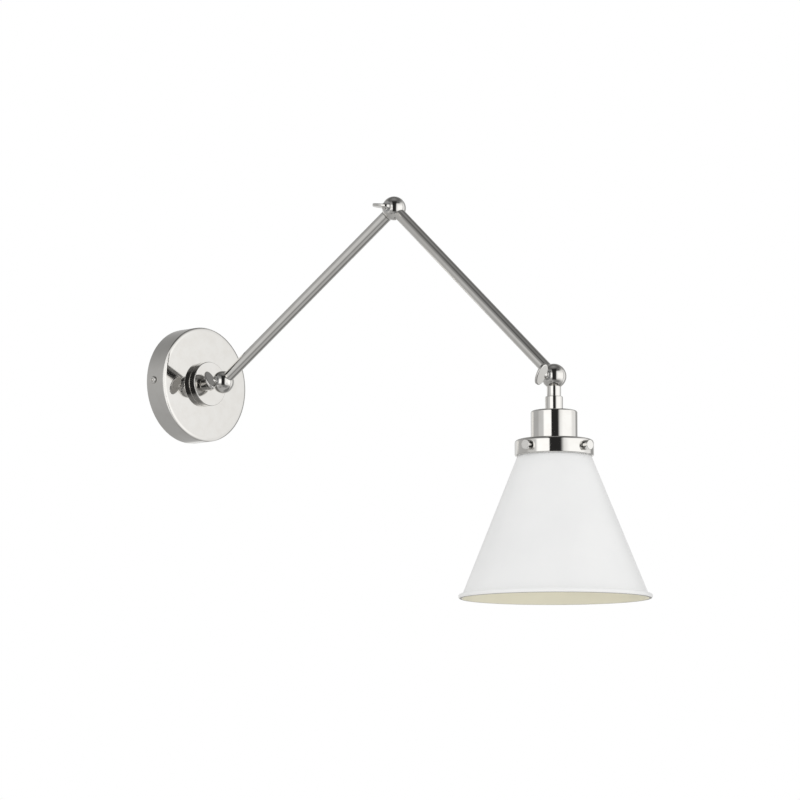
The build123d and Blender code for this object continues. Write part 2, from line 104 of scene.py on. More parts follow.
def wire(tree, kind, inputs=None, **settings):
    node = tree.nodes.new(kind)
    for key, value in settings.items():
        setattr(node, key, value)
    for key, value in (inputs or {}).items():
        if isinstance(value, bpy.types.NodeSocket):
            tree.links.new(value, node.inputs[key])
        else:
            node.inputs[key].default_value = value
    return node


def maths(tree, operation, first, second=0.0):
    return wire(tree, "ShaderNodeMath", {0: first, 1: second}, operation=operation).outputs[0]


def newFinish(name):
    material = bpy.data.materials.new(name)
    material.use_nodes = True
    tree = material.node_tree
    return material, tree, tree.nodes["Principled BSDF"]


def setCamera():
    lens = bpy.data.cameras.new("photoCamera")
    lens.sensor_width = camera["sensor"]
    lens.lens = camera["focal"] * camera["sensor"] / camera["frame"]
    lens.clip_end = camera["farClip"]
    eye = link(bpy.data.objects.new("photoCamera", lens))
    eye.location = camera["place"]
    eye.rotation_euler = (radians(90 + camera["pitch"]), 0, radians(-camera["yaw"]))
    bpy.context.scene.camera = eye


def seenShare(tree):  # 1 where the backdrop is seen, straight, mirrored or through glass
    path = wire(tree, "ShaderNodeLightPath").outputs
    first = maths(tree, "MAXIMUM", path["Is Camera Ray"], path["Is Glossy Ray"])
    return maths(tree, "MAXIMUM", first, path["Is Transmission Ray"])


def setWorld():
    world = bpy.data.worlds.new("paleRoom")
    world.use_nodes = True
    tree = world.node_tree
    tree.nodes.clear()
    colour = (*studio["backdrop"], 1)
    lit = wire(tree, "ShaderNodeBackground", {"Color": colour, "Strength": studio["ambient"]})
    seen = wire(tree, "ShaderNodeBackground", {"Color": colour, "Strength": 1.0})
    mix = wire(tree, "ShaderNodeMixShader", {0: seenShare(tree), 1: lit.outputs[0], 2: seen.outputs[0]})
    wire(tree, "ShaderNodeOutputWorld", {"Surface": mix.outputs[0]})
    bpy.context.scene.world = world


def setFloor():
    reach, height = studio["floorReach"], studio["floorHeight"]
    corners = [(x * reach, y * reach, height) for x, y in ((-1, -1), (1, -1), (1, 1), (-1, 1))]
    mesh = bpy.data.meshes.new("paleFloor")
    mesh.from_pydata(corners, [], [(0, 1, 2, 3)])
    ground = link(bpy.data.objects.new("paleFloor", mesh))
    material, tree, shader = newFinish("floorPaint")
    shader.inputs["Base Color"].default_value = (*studio["floorColour"], 1)
    shader.inputs["Roughness"].default_value = studio["floorRough"]
    shader.inputs["Emission Color"].default_value = (1, 1, 1, 1)
    path = wire(tree, "ShaderNodeLightPath").outputs
    glow = maths(tree, "MULTIPLY", path["Is Camera Ray"], studio["floorLift"])
    tree.links.new(glow, shader.inputs["Emission Strength"])
    mesh.materials.append(material)
    ground.visible_glossy = False


def ease(value):  # 0 below 0, 1 above 1, smooth between
    value = max(0.0, min(1.0, value))
    return value * value * (3 - 2 * value)


def cover(patch, azimuth, elevation):
    middle = sum(patch["across"]) / 2
    half = patch["across"][1] - middle
    away = (azimuth - middle + 180) % 360 - 180
    if patch.get("upright"):  # as wide at the top as at the horizon
        if abs(away) > 90:
            return 0.0
        away = degrees(asin(sin(radians(away)) * cos(radians(elevation))))
    (left, right), (low, high), soft = patch["fade"], patch["up"], patch["soft"]
    sideways = min(ease((away + half) / left + 1), ease((half - away) / right + 1))
    upwards = min(ease((elevation - low) / soft + 1), ease((high - elevation) / soft + 1))
    return sideways * upwards


def roomTone(azimuth, elevation):
    tone = 0.0
    for (low, first), (high, second) in zip(room["greys"], room["greys"][1:]):
        if low <= elevation <= high:
            tone = first + (second - first) * (elevation - low) / (high - low)
    for patch in room["patches"].values():
        tone += (patch["tone"] - tone) * cover(patch, azimuth, elevation)
    return tone


def setRoom():
    centre = Vector(studio["centre"])
    toCamera = Vector(camera["place"]) - centre
    heading = atan2(toCamera.y, toCamera.x)
    columns, rows = room["columns"], room["rows"]
    points, tones = [], []
    for column in range(columns + 1):
        azimuth = -180 + 360 * column / columns
        turn = heading + radians(azimuth)
        for row in range(rows + 1):
            elevation = -90 + 180 * row / rows
            rise = radians(elevation)
            way = Vector((cos(turn) * cos(rise), sin(turn) * cos(rise), sin(rise)))
            points.append(centre + room["radius"] * way)
            tones.append(roomTone(azimuth, elevation))
    firsts = [column * (rows + 1) + row for column in range(columns) for row in range(rows)]
    mesh = bpy.data.meshes.new("mirroredRoom")
    mesh.from_pydata(points, [], [(first, first + 1, first + rows + 2, first + rows + 1) for first in firsts])
    mesh.attributes.new("tone", "FLOAT", "POINT").data.foreach_set("value", tones)
    material, tree = newFinish("mirroredRoom")[:2]
    material.cycles.emission_sampling = "NONE"
    tree.nodes.clear()
    read = wire(tree, "ShaderNodeAttribute", attribute_name="tone")
    glow = wire(tree, "ShaderNodeEmission", {"Color": (*room["warmth"], 1), "Strength": read.outputs["Fac"]})
    wire(tree, "ShaderNodeOutputMaterial", {"Surface": glow.outputs[0]})
    mesh.materials.append(material)
    dome = link(bpy.data.objects.new("mirroredRoom", mesh))
    dome.visible_camera = False
    dome.visible_diffuse = False
    dome.visible_shadow = False
    dome.visible_transmission = False


def setLamp(name, place, size, power):
    light = bpy.data.lights.new(name, "AREA")
    light.shape = "DISK"
    light.size = size
    light.energy = power
    lamp = link(bpy.data.objects.new(name, light))
    lamp.location = place
    aimAt = Vector(studio["centre"]) - Vector(place)
    lamp.rotation_euler = aimAt.to_track_quat("-Z", "Y").to_euler()
    lamp.visible_glossy = False


setCamera()
setWorld()
setFloor()
setRoom()
for name, lamp in lamps.items():
    setLamp(name, **lamp)
print("camera and studio ready")


# Where the knuckles stand, in millimetres, and how the arms rise away from the wall, in degrees
arms = {
    "baseBallOut": 54.2,
    "lowerLength": 301.0,
    "lowerRise": 32.13,
    "upperLength": 292.7,
    "upperRise": -42.85,
}


# Finishes: every pattern reads Object coordinates, in metres
def patternSpace(tree, stretch=(1, 1, 1), turn=(0, 0, 0)):
    space = wire(tree, "ShaderNodeTexCoord")
    swung = wire(tree, "ShaderNodeMapping", {"Vector": space.outputs["Object"], "Rotation": turn})
    return wire(tree, "ShaderNodeMapping", {"Vector": swung.outputs[0], "Scale": stretch}).outputs[0]


def noise(tree, space, scale, detail=3.0, rough=0.5):
    inputs = {"Vector": space, "Scale": scale, "Detail": detail, "Roughness": rough}
    return wire(tree, "ShaderNodeTexNoise", inputs).outputs[0]


def ranged(tree, value, low, high, fromLow=0.3, fromHigh=0.7):
    limits = {"From Min": fromLow, "From Max": fromHigh, "To Min": low, "To Max": high}
    return wire(tree, "ShaderNodeMapRange", {"Value": value, **limits}).outputs[0]


def tinted(tree, value, first, second, fromLow=0.3, fromHigh=0.7):
    share = ranged(tree, value, 0, 1, fromLow, fromHigh)
    colours = {0: share, 6: (*first, 1), 7: (*second, 1)}  # the node's colour sockets
    return wire(tree, "ShaderNodeMix", colours, data_type="RGBA").outputs[2]


def bumped(tree, shader, height, strength, distance, below=None):
    links = {"Height": height, "Strength": strength, "Distance": distance}
    if below:
        links["Normal"] = below
    bump = wire(tree, "ShaderNodeBump", links)
    tree.links.new(bump.outputs[0], shader.inputs["Normal"])
    return bump.outputs[0]


def coat(tree, shader, colour, rough, metallic=0.0):
    tree.links.new(colour, shader.inputs["Base Color"])
    tree.links.new(rough, shader.inputs["Roughness"])
    shader.inputs["Metallic"].default_value = metallic


nickel = {
    "bright": (0.815, 0.805, 0.785),
    "dim": (0.785, 0.77, 0.745),
    "facedPaintedHighlight": ((0.90, 0.89, 0.87), (0.94, 0.93, 0.91)),  # ends turned on a lathe, satin, and lighter in tone as a painted highlight
    "satin": 0.14,
    "smooth": 0.03,
    "hazy": 0.075,
    "hazeScale": 95,
    "waveScale": 26,      # slow waves left by buffing
    "waveBump": 0.5,
    "waveDepth": 0.000012,
    "grainScale": 2600,
    "grainDepth": 0.0000016,
    "buffed": {"stretch": (1, 0.25, 1), "rough": 0.03, "bump": 0.5},
    "drawn": {"stretch": (1, 1, 0.012), "rough": 0.07, "bump": 0.9},  # scratched along the tube
}


def nickelFinish(name, rise=None, tones=(nickel["dim"], nickel["bright"]), satin=0.0):
    material, tree, shader = newFinish(name)
    worked = nickel["buffed" if rise is None else "drawn"]
    turn = (0, 0, 0) if rise is None else (radians(rise - 90), 0, 0)
    plain = patternSpace(tree, turn=turn)
    along = patternSpace(tree, worked["stretch"], turn)
    waves = noise(tree, plain, nickel["waveScale"], detail=2)
    haze = noise(tree, plain, nickel["hazeScale"], detail=4, rough=0.62)
    grain = noise(tree, along, nickel["grainScale"], detail=3, rough=0.6)
    colour = tinted(tree, haze, *tones, fromLow=0.35, fromHigh=0.6)
    smooth = ranged(tree, haze, nickel["hazy"], nickel["smooth"], fromLow=0.32, fromHigh=0.62)
    fine = ranged(tree, grain, satin, satin + worked["rough"], fromLow=0.45, fromHigh=0.75)
    coat(tree, shader, colour, maths(tree, "ADD", smooth, fine), metallic=1.0)
    slow = bumped(tree, shader, waves, nickel["waveBump"], nickel["waveDepth"])
    bumped(tree, shader, grain, worked["bump"], nickel["grainDepth"], slow)
    return material


enamel = {
    "white": ((0.872, 0.876, 0.876), (0.90, 0.902, 0.90)),
    "cream": ((0.83, 0.80, 0.665), (0.87, 0.84, 0.70)),
    "rimPaintedShade": ((0.24, 0.235, 0.22), (0.36, 0.35, 0.33)),  # painted shade: a grey line under the bead
    "cloudScale": 22,
    "roughLow": 0.30,
    "roughHigh": 0.42,
    "specular": 0.45,
    "peelScale": 900,     # orange peel of sprayed paint
    "peelBump": 0.35,
    "peelDepth": 0.00003,
    "dustScale": 5200,
    "dustBump": 0.12,
    "dustDepth": 0.000008,
}


def enamelFinish(name, tones):
    material, tree, shader = newFinish(name)
    plain = patternSpace(tree)
    cloud = noise(tree, plain, enamel["cloudScale"])
    peel = noise(tree, plain, enamel["peelScale"], detail=2, rough=0.4)
    dust = noise(tree, plain, enamel["dustScale"], detail=2)
    rough = ranged(tree, peel, enamel["roughLow"], enamel["roughHigh"])
    coat(tree, shader, tinted(tree, cloud, *tones), rough)
    shader.inputs["Specular IOR Level"].default_value = enamel["specular"]
    first = bumped(tree, shader, peel, enamel["peelBump"], enamel["peelDepth"])
    bumped(tree, shader, dust, enamel["dustBump"], enamel["dustDepth"], first)
    return material


zincCoat = {
    "steel": {"tones": ((0.50, 0.51, 0.52), (0.66, 0.67, 0.68)), "rough": (0.22, 0.42)},
    "green": {"tones": ((0.04, 0.26, 0.10), (0.10, 0.42, 0.18)), "rough": (0.20, 0.40)},  # dyed
    "metallic": 0.9,
    "spangleScale": 340,
    "spangleShare": 0.35,
    "stainScale": 60,
    "grainScale": 2400,
    "grainBump": 0.3,
    "grainDepth": 0.00001,
}


def zincFinish(name, kind):
    material, tree, shader = newFinish(name)
    plain = patternSpace(tree)
    spangle = wire(tree, "ShaderNodeTexVoronoi", {"Vector": plain, "Scale": zincCoat["spangleScale"]})
    tone = wire(tree, "ShaderNodeSeparateColor", {"Color": spangle.outputs["Color"]}).outputs[0]
    stain = noise(tree, plain, zincCoat["stainScale"], detail=4, rough=0.6)
    blend = wire(tree, "ShaderNodeMath", {0: tone, 1: zincCoat["spangleShare"], 2: stain},
                 operation="MULTIPLY_ADD").outputs[0]
    colour = tinted(tree, blend, *zincCoat[kind]["tones"], fromHigh=1.0)
    rough = ranged(tree, blend, *zincCoat[kind]["rough"], fromHigh=1.0)
    coat(tree, shader, colour, rough, zincCoat["metallic"])
    grain = noise(tree, plain, zincCoat["grainScale"])
    bumped(tree, shader, grain, zincCoat["grainBump"], zincCoat["grainDepth"])
    return material


brassSheet = {
    "tones": ((0.60, 0.43, 0.20), (0.80, 0.62, 0.33)),
    "dull": 0.38,
    "clean": 0.22,
    "tarnishScale": 130,
    "grainScale": 3000,
    "grainStretch": (1, 1, 0.2),
    "grainBump": 0.4,
    "grainDepth": 0.00001,
}


def brassFinish(name):
    material, tree, shader = newFinish(name)
    tarnish = noise(tree, patternSpace(tree), brassSheet["tarnishScale"], detail=5, rough=0.65)
    grain = noise(tree, patternSpace(tree, brassSheet["grainStretch"]), brassSheet["grainScale"])
    colour = tinted(tree, tarnish, *brassSheet["tones"], fromLow=0.35, fromHigh=0.6)
    coat(tree, shader, colour, ranged(tree, tarnish, brassSheet["dull"], brassSheet["clean"]), metallic=1.0)
    bumped(tree, shader, grain, brassSheet["grainBump"], brassSheet["grainDepth"])
    return material


glaze = {
    "tones": ((0.80, 0.78, 0.73), (0.87, 0.86, 0.83)),
    "roughLow": 0.10,
    "roughHigh": 0.22,
    "coat": 0.4,
    "coatRough": 0.06,
    "cloudScale": 70,
    "cloudBump": 0.4,
    "cloudDepth": 0.00006,
    "speckScale": 1500,
}


def porcelainFinish(name):
    material, tree, shader = newFinish(name)
    plain = patternSpace(tree)
    cloud = noise(tree, plain, glaze["cloudScale"])
    speck = noise(tree, plain, glaze["speckScale"], detail=2, rough=0.7)
    colour = tinted(tree, speck, *glaze["tones"], fromLow=0.24, fromHigh=0.36)
    coat(tree, shader, colour, ranged(tree, cloud, glaze["roughLow"], glaze["roughHigh"]))
    shader.inputs["Coat Weight"].default_value = glaze["coat"]
    shader.inputs["Coat Roughness"].default_value = glaze["coatRough"]
    bumped(tree, shader, cloud, glaze["cloudBump"], glaze["cloudDepth"])
    return material


softMixes = {
    "frictionFibre": {"tones": ((0.035, 0.028, 0.024), (0.085, 0.070, 0.060)),
                      "scale": 1400, "rough": (0.65, 0.85), "bump": 0.5, "depth": 0.00004},
    "leadSleeve": {"tones": ((0.030, 0.030, 0.031), (0.060, 0.060, 0.062)),
                   "scale": 700, "rough": (0.4, 0.6), "bump": 0.5, "depth": 0.00002},
}


def softFinish(name):
    mix = softMixes[name]
    material, tree, shader = newFinish(name)
    fleck = noise(tree, patternSpace(tree), mix["scale"], detail=4, rough=0.7)
    coat(tree, shader, tinted(tree, fleck, *mix["tones"]), ranged(tree, fleck, *mix["rough"]))
    bumped(tree, shader, fleck, mix["bump"], mix["depth"])
    return material


polished = nickelFinish("polishedNickel")
# satin turned ends, lighter in tone than the rest of the nickel as a painted highlight
facedPaintedHighlight = nickelFinish("facedNickelPaintedHighlight", tones=nickel["facedPaintedHighlight"], satin=nickel["satin"])
lowerDrawn = nickelFinish("drawnNickelLower", arms["lowerRise"])
upperDrawn = nickelFinish("drawnNickelUpper", arms["upperRise"])
shadeWhite = enamelFinish("shadeEnamel", enamel["white"])
shadeCream = enamelFinish("shadeLining", enamel["cream"])
shadeRimShade = enamelFinish("shadeRimPaintedShade", enamel["rimPaintedShade"])
zinc = zincFinish("zincSteel", "steel")
greenZinc = zincFinish("greenZinc", "green")
brass = brassFinish("rolledBrass")
porcelain = porcelainFinish("glazedPorcelain")
fibre = softFinish("frictionFibre")
sleeve = softFinish("leadSleeve")
print("finishes ready")


def armEnd(start, arm):
    rise = radians(arms[arm + "Rise"])
    return start + arms[arm + "Length"] * Vector((0, -cos(rise), sin(rise)))


def aim(centre, rise):  # local +Z points outwards from the wall, raised by an angle
    return Matrix.Translation(centre) @ Matrix.Rotation(radians(90 - rise), 4, "X")


def across(side):  # local +Z points to +X or -X
    return Matrix.Rotation(radians(90 * side), 4, "Y")


baseBall = Vector((0, -arms["baseBallOut"], 0))
elbowBall = armEnd(baseBall, "lower")
headBall = armEnd(elbowBall, "upper")
wall = aim(Vector(), 0)
head = aim(headBall, -90)

# Turning: a profile of (radius, height, rounding) corners, carried round by Geometry Nodes
rounding = {"steps": 7, "hold": 0.06, "leastHold": 0.01}


def held(here, edge, reach):  # a point just past the rounding, which keeps the flat beside it flat
    hold = min(rounding["hold"], (edge.length - reach) / 3)
    return [here + edge.normalized() * (reach + hold)] if hold > rounding["leastHold"] else []


def rounded(corners):
    closed = corners[0][0] > 0
    count = len(corners)
    line = []
    for number, corner in enumerate(corners):
        here = Vector(corner[:2])
        size = corner[2] if len(corner) > 2 else 0
        if size == 0 or (not closed and number in (0, count - 1)):
            line.append(here)
            continue
        before = Vector(corners[number - 1][:2]) - here
        after = Vector(corners[(number + 1) % count][:2]) - here
        toBefore, toAfter = before.normalized(), after.normalized()
        half = acos(max(-1, min(1, toBefore.dot(toAfter)))) / 2
        reach = size / tan(half)
        middle = here + (toBefore + toAfter).normalized() * size / sin(half)
        start = here + toBefore * reach - middle
        end = here + toAfter * reach - middle
        sweep = start.angle_signed(end)
        line += held(here, before, reach)
        for step in range(rounding["steps"] + 1):
            turn = -sweep * step / rounding["steps"]
            line.append(middle + Vector((start.x * cos(turn) - start.y * sin(turn),
                                         start.x * sin(turn) + start.y * cos(turn))))
        line += held(here, after, reach)
    if closed:
        line.append(line[0].copy())
    return line


def arc(centre, radius, first, last, count):  # points on a circle in the profile's plane, in degrees
    spread = [radians(first + (last - first) * step / count) for step in range(count + 1)]
    return [(centre[0] + radius * cos(angle), centre[1] + radius * sin(angle)) for angle in spread]


def newTree(name, sockets):
    tree = bpy.data.node_groups.new(name, "GeometryNodeTree")
    tree.interface.new_socket("Geometry", in_out="INPUT", socket_type="NodeSocketGeometry")
    for label, kind, value in sockets:
        socket = tree.interface.new_socket(label, in_out="INPUT", socket_type="NodeSocket" + kind)
        if value is not None:
            socket.default_value = value
    tree.interface.new_socket("Geometry", in_out="OUTPUT", socket_type="NodeSocketGeometry")
    return tree, tree.nodes.new("NodeGroupInput").outputs


def closeTree(tree, shape, material):
    real = wire(tree, "GeometryNodeRealizeInstances", {"Geometry": shape})
    coated = wire(tree, "GeometryNodeSetMaterial", {"Geometry": real.outputs[0], "Material": material})
    wire(tree, "NodeGroupOutput", {0: coated.outputs[0]})


# The points of the profile hold its radius, the thread's share of its full depth, and its height
def makeTurnTree():
    tree, given = newTree("turnProfile", [
        ("Segments", "Int", 96),
        ("Pitch", "Float", 1.0),
        ("Thread", "Float", 0.0),
        ("Material", "Material", None),
    ])
    count = wire(tree, "GeometryNodeAttributeDomainSize", {0: given["Geometry"]}).outputs["Point Count"]
    seams = maths(tree, "ADD", given["Segments"], 1)
    grid = wire(tree, "GeometryNodeMeshGrid", {"Vertices X": seams, "Vertices Y": count}).outputs["Mesh"]
    index = wire(tree, "GeometryNodeInputIndex").outputs[0]
    column = maths(tree, "FLOOR", maths(tree, "DIVIDE", index, count))
    row = maths(tree, "MODULO", index, count)
    place = wire(tree, "GeometryNodeInputPosition").outputs[0]
    picked = wire(tree, "GeometryNodeSampleIndex", {"Geometry": given["Geometry"], "Index": row},
                  data_type="FLOAT_VECTOR", domain="POINT")
    tree.links.new(place, picked.inputs["Value"])
    apart = wire(tree, "ShaderNodeSeparateXYZ", {0: picked.outputs[0]}).outputs
    angle = maths(tree, "DIVIDE", maths(tree, "MULTIPLY", column, 2 * pi), given["Segments"])
    climb = maths(tree, "MULTIPLY", maths(tree, "DIVIDE", apart["Z"], given["Pitch"]), 2 * pi)
    ridge = maths(tree, "COSINE", maths(tree, "SUBTRACT", climb, angle))
    lift = maths(tree, "MULTIPLY", maths(tree, "MULTIPLY", ridge, given["Thread"]), apart["Y"])
    radius = maths(tree, "ADD", apart["X"], lift)
    spot = wire(tree, "ShaderNodeCombineXYZ", {
        0: maths(tree, "MULTIPLY", radius, maths(tree, "COSINE", angle)),
        1: maths(tree, "MULTIPLY", radius, maths(tree, "SINE", angle)),
        2: apart["Z"],
    }).outputs[0]
    moved = wire(tree, "GeometryNodeSetPosition", {"Geometry": grid, "Position": spot}).outputs[0]
    welded = wire(tree, "GeometryNodeMergeByDistance", {"Geometry": moved, "Distance": weldGap}).outputs[0]
    closeTree(tree, welded, given["Material"])
    return tree


def grown(piece, tree, values):
    modifier = piece.modifiers.new(tree.name, "NODES")
    modifier.node_group = tree
    for item in tree.interface.items_tree:
        if item.in_out == "INPUT" and item.name in values:
            modifier[item.identifier] = values[item.name]
    graph = bpy.context.evaluated_depsgraph_get()
    made = bpy.data.meshes.new_from_object(piece.evaluated_get(graph), depsgraph=graph)
    piece.modifiers.remove(modifier)
    piece.data = made
    made.materials.clear()
    made.materials.append(values["Material"])
    made.polygons.foreach_set("material_index", [0] * len(made.polygons))
    return piece


def strung(name, points):  # an object whose mesh is one line of points
    mesh = bpy.data.meshes.new(name)
    mesh.from_pydata(points, [(number, number + 1) for number in range(len(points) - 1)], [])
    return link(bpy.data.objects.new(name, mesh))


# Outward faces, crisp edges, and from the maker's place to the lamp's, in metres
def seat(piece, place):
    shape = bmesh.new()
    shape.from_mesh(piece.data)
    bmesh.ops.remove_doubles(shape, verts=shape.verts, dist=weldGap)
    bmesh.ops.recalc_face_normals(shape, faces=shape.faces)
    bmesh.ops.transform(shape, matrix=Matrix.Scale(mm, 4) @ place, verts=shape.verts)
    shape.to_mesh(piece.data)
    shape.free()
    piece.data.polygons.foreach_set("use_smooth", [True] * len(piece.data.polygons))
    piece.data.set_sharp_from_angle(angle=radians(sharpAngle))
    return piece


def turned(name, corners, place, finish, segments=96, pitch=1.0, thread=0.0, threadShare=None):
    points = [(point.x, threadShare(point) if threadShare else 0.0, point.y) for point in rounded(corners)]
    piece = strung(name, points)
    grown(piece, turnTree, {"Segments": segments, "Pitch": pitch, "Thread": thread, "Material": finish})
    return seat(piece, place)


def joined(name, parts):
    shape = bmesh.new()
    for part in parts:
        shape.from_mesh(part.data)
    mesh = bpy.data.meshes.new(name)
    shape.to_mesh(mesh)
    shape.free()
    for material in parts[0].data.materials:
        mesh.materials.append(material)
    for part in parts:
        bpy.data.objects.remove(part)
    piece = link(bpy.data.objects.new(name, mesh))
    mesh.set_sharp_from_angle(angle=radians(sharpAngle))
    return piece


def skin(shape, rings):  # faces between closed rings of as many points each
    for first, second in zip(rings, rings[1:]):
        for spot in range(len(first)):
            other = (spot + 1) % len(first)
            shape.faces.new((first[spot], first[other], second[other], second[spot]))


def fromShape(name, shape, place, finish):
    mesh = bpy.data.meshes.new(name)
    shape.to_mesh(mesh)
    shape.free()
    mesh.materials.append(finish)
    return seat(link(bpy.data.objects.new(name, mesh)), place)


def fit(piece, body, node):
    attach(piece, body)
    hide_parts(node)


turnTree = makeTurnTree()

canopy = {
    "radius": 63.5,
    "depth": 26.7,
    "wall": 1.2,
    "rim": 0.3,
    "rollRadius": 61.4,   # where the face's slope to the rim would start with no rounding
    "rollDrop": 1.3,
    "roll": 7.6,
    "hole": 11.1,
    "holeEdge": 0.2,
    "backEdge": 0.25,
}


def makeCanopy():
    sheet = canopy["wall"]
    front, inner = canopy["depth"] - sheet, canopy["radius"] - sheet
    rim = canopy["depth"] - canopy["rollDrop"]
    slope = atan2(canopy["rollDrop"], canopy["radius"] - canopy["rollRadius"])
    fit(turned("canopyShell", [
        (canopy["radius"], 0, canopy["backEdge"]),
        (canopy["radius"], rim, canopy["rim"]),
        (canopy["rollRadius"], canopy["depth"], canopy["roll"]),
        (canopy["hole"], canopy["depth"], canopy["holeEdge"]),
        (canopy["hole"], front),
        (canopy["rollRadius"] - sheet * tan(slope / 2), front, canopy["roll"] - sheet),
        (inner, rim - sheet * tan((pi / 2 - slope) / 2)),
        (inner, 0, canopy["backEdge"]),
    ], wall, polished, segments=192), "wall_plate", "canopy")


baseDisc = {
    "radius": 24.5,
    "height": 8.2,
    "edge": 0.9,
    "backEdge": 0.6,
    "shankRadius": 11.0,
    "shankBack": 17.0,
    "shankEdge": 0.4,
    "bore": 7.15,
    "boreEdge": 0.2,
    "mouthEdge": 0.3,
    "lugFront": 17.0,
    "lugBack": 13.6,
    "lugInner": 9.3,
    "lugHalfAngle": 11.0,
    "lugSteps": 8,
}


def makeBaseDisc():
    disc = baseDisc
    front = canopy["depth"] + disc["height"]
    body = turned("baseDiscBody", [
        (disc["bore"], disc["shankBack"], disc["boreEdge"]),
        (disc["shankRadius"], disc["shankBack"], disc["shankEdge"]),
        (disc["shankRadius"], canopy["depth"]),
        (disc["radius"], canopy["depth"], disc["backEdge"]),
        (disc["radius"], front, disc["edge"]),
        (disc["bore"], front, disc["mouthEdge"]),
    ], wall, polished, segments=160)
    section = ((disc["lugInner"], disc["lugBack"]), (disc["shankRadius"], disc["lugBack"]),
               (disc["shankRadius"], disc["lugFront"]), (disc["lugInner"], disc["lugFront"]))
    shape = bmesh.new()
    rings = []
    for step in range(disc["lugSteps"] + 1):
        angle = radians(-90 + disc["lugHalfAngle"] * (2 * step / disc["lugSteps"] - 1))
        rings.append([shape.verts.new((reach * cos(angle), reach * sin(angle), height))
                      for reach, height in section])
    skin(shape, rings)
    shape.faces.new(rings[0])
    shape.faces.new(rings[-1][::-1])
    lug = fromShape("baseDiscLug", shape, wall, polished)
    fit(joined("baseDisc", [body, lug]), "wall_plate", "swivel_base")


sideScrew = {
    "out": 11.0,
    "radius": 4.2,
    "height": 2.2,
    "dome": 1.5,
    "domeSteps": 8,
    "edge": 0.1,
    "shank": 2.0,
    "length": 9.0,
    "tip": 0.4,           # chamfer at the shank's end
    "recess": 3.2,        # across its flats
    "recessDepth": 1.2,
    "recessPoint": 0.4,
    "flare": 1.16,        # the recess's worn mouth, in shares of its width
    "flareFoot": 1.04,
    "flareDepth": 0.12,
    "hold": 0.04,
    "gap": 0.1,
    "columns": 48,
}


def makeSideScrew(side):
    screw, rim = sideScrew, sideScrew["radius"]
    end, under = canopy["radius"] - screw["length"], canopy["radius"] + screw["gap"]
    top = canopy["radius"] + screw["height"]
    floor = top - screw["recessDepth"]
    rows = [(0, end), (screw["shank"] - screw["tip"], end), (screw["shank"], end + screw["tip"]),
            (screw["shank"], under), (rim - screw["edge"], under), (rim, under + screw["edge"])]
    for step in range(screw["domeSteps"] + 1):
        turn = radians(90 * step / screw["domeSteps"])
        rows.append((rim - screw["dome"] * (1 - cos(turn)), top - screw["dome"] * (1 - sin(turn))))
    rows += [(rim - screw["dome"] - screw["hold"], top), (screw["flare"], top, "hexed"),
             (screw["flareFoot"], top - screw["flareDepth"], "hexed"), (1.0, floor, "hexed"),
             (0, floor - screw["recessPoint"])]
    shape = bmesh.new()
    rings = []
    for reach, height, *hexed in rows:
        ring = []
        for column in range(screw["columns"]):
            angle = 2 * pi * column / screw["columns"]
            wide = reach
            if hexed:  # the six-sided recess
                wide = reach * screw["recess"] / 2 / cos((angle + pi / 6) % (pi / 3) - pi / 6)
            ring.append(shape.verts.new((wide * cos(angle), wide * sin(angle), height)))
        rings.append(ring)
    skin(shape, rings)
    place = wall @ Matrix.Translation((0, 0, screw["out"])) @ across(side)
    return fromShape("sideScrewHalf", shape, place, polished)


def makeSideScrews():
    fit(joined("sideScrews", [makeSideScrew(-1), makeSideScrew(1)]), "wall_plate", "canopy_side_screws")


makeCanopy()
makeBaseDisc()
makeSideScrews()
print("wall plate ready")


# Ball knuckles: two half balls with a thin gap, each with its own neck
ball = {
    "radius": 12.5,
    "halfSplit": 0.5,
    "lipSplit": 0.15,     # rims that close over the friction ring
    "lipInner": 11.95,
    "gap": 0.3,
    "spotRadius": 5.5,
    "screwHole": 2.8,
    "holeEdge": 0.2,
    "edge": 0.08,
    "arcSteps": 30,
    "arcClear": 3,        # degrees left free at the rim and the pole
    "spotClear": 2,
}

neckShape = {
    "columns": 96,
    "shares": (0, 0.35, 0.7, 0.9, 1.0),
    "sunkShare": 0.3,     # past this share of its radius the neck runs into its own half ball
    "sunk": 8.0,
}


def halfBall(name, side, centre):
    radius, split, lip = ball["radius"], ball["halfSplit"], ball["lipSplit"]
    low = degrees(asin(lip / radius)) + ball["arcClear"]
    rim = [(ball["lipInner"], split), (ball["lipInner"], lip), (sqrt(radius**2 - lip**2), lip, ball["edge"])]
    if side > 0:
        corners = [(0, split)] + rim
        corners += arc((0, 0), radius, low, 90 - ball["arcClear"], ball["arcSteps"])
        corners.append((0, radius))
    else:
        out = sqrt(radius**2 - ball["spotRadius"]**2)
        high = degrees(asin(out / radius)) - ball["spotClear"]
        corners = [(ball["screwHole"], split)] + rim
        corners += arc((0, 0), radius, low, high, ball["arcSteps"] // 2)
        corners += [(ball["spotRadius"], out, ball["edge"]), (ball["screwHole"], out, ball["holeEdge"])]
    return turned(name, corners, Matrix.Translation(centre) @ across(side), polished, segments=128)


